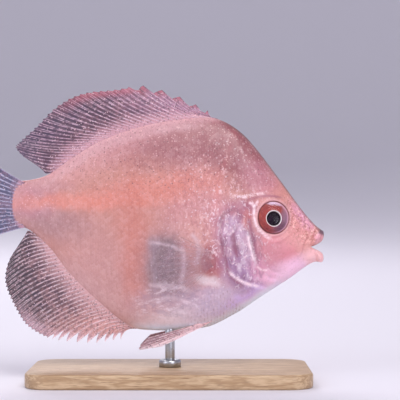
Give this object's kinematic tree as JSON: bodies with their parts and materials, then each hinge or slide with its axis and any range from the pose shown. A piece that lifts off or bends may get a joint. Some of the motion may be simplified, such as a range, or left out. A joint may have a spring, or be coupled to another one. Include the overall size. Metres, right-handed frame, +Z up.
{
  "type": "fish model",
  "caption": "Life-size still model of a young discus fish with raised fins and slightly open mouth, on a flat base with a short rod.",
  "frame": {"origin": "centre of the base's underside, under the fish's middle", "axes": "+X points to the snout along the base's length, +Y to the fish's left side, +Z up"},
  "size_m": [0.0807, 0.03, 0.0616],
  "materials": {
    "skin": "moist scaled skin",
    "lips": "moist bare skin",
    "cheek": "silvery bony plate under thin skin",
    "fin": "rayed membrane",
    "clear_fin": "thin rayed membrane, nearly clear",
    "eye": "wet eye with a red-brown iris",
    "stand_wood": "pale oiled wood",
    "stand_steel": "brushed"
  },
  "bodies": {
    "root": {"head": "skin", "upper_jaw": "lips", "lower_jaw": "lips", "gill_cover_right": "cheek", "gill_cover_left": "cheek", "trunk": "skin", "tail_stalk": "skin", "dorsal_fin": "fin", "anal_fin": "fin", "tail_fin": "clear_fin", "pectoral_fin_right": "clear_fin", "pectoral_fin_left": "clear_fin", "pelvic_fin_right": "fin", "pelvic_fin_left": "fin", "eye_right": "eye", "eye_left": "eye", "stand_base": "stand_wood", "stand_collar": "stand_steel", "stand_rod": "stand_steel"}
  },
  "joints": []
}
